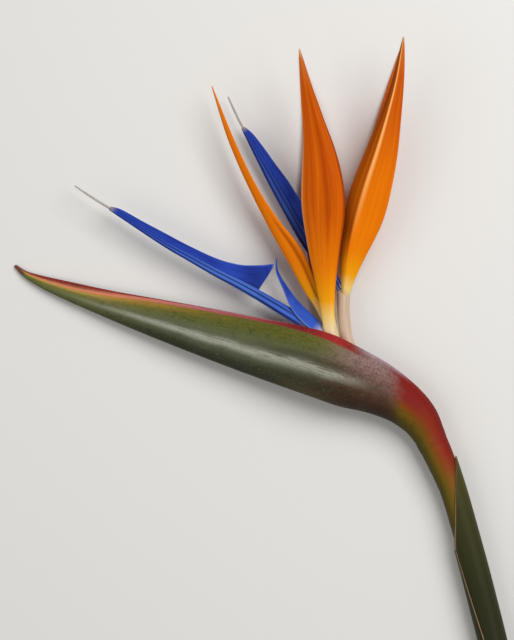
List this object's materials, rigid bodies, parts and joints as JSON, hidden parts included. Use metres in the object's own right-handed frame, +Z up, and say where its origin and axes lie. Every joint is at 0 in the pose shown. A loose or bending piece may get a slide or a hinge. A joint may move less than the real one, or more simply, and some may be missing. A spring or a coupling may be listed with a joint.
{
  "type": "bird of paradise flower",
  "caption": "Cut bird of paradise flower lying on its side: beaked green spathe, sheathed stem, upright orange sepals and blue arrow-shaped petals.",
  "frame": {"origin": "centre of the bounding box, on the surface that the cut flower lies on", "axes": "+Z up out of that surface, +Y from the stem's cut end up to the sepal tips, +X from the spathe's beak towards the stem"},
  "size_m": [0.2332, 0.3222, 0.0364],
  "materials": {
    "stem_green": "smooth olive green stem tissue, turning orange and crimson towards the spathe, satin",
    "sheath_green": "dark olive bract with a dry pale margin and fine lengthwise veins, satin",
    "spathe_green": "thick leathery bract, grey green with a waxy bloom, crimson along its upper margins and elbow",
    "sepal_orange": "thin orange sepal tissue with fine lengthwise veins, paler at the base, satin",
    "petal_blue": "thin deep blue petal tissue with fine lengthwise veins, matt",
    "style_grey": "grey stigma thread, sticky with pale pollen, matt",
    "stalk_cream": "cream floret stalk, smooth, satin",
    "stalk_pink": "pinkish cream floret stalk, smooth, satin"
  },
  "bodies": {
    "root": {"stem": "stem_green", "stem_sheath": "sheath_green", "spathe": "spathe_green", "flower_1_stalk": "stalk_cream", "flower_1_sepal_median": "sepal_orange", "flower_1_sepal_near": "sepal_orange", "flower_1_sepal_far": "sepal_orange", "flower_1_arrow_petal_near": "petal_blue", "flower_1_arrow_petal_far": "petal_blue", "flower_1_short_petal": "petal_blue", "flower_1_style": "style_grey", "flower_2_stalk": "stalk_pink", "flower_2_sepal_median": "sepal_orange", "flower_2_sepal_near": "sepal_orange", "flower_2_sepal_far": "sepal_orange", "flower_2_arrow_petal_near": "petal_blue", "flower_2_arrow_petal_far": "petal_blue", "flower_2_short_petal": "petal_blue", "flower_2_style": "style_grey"}
  },
  "joints": []
}
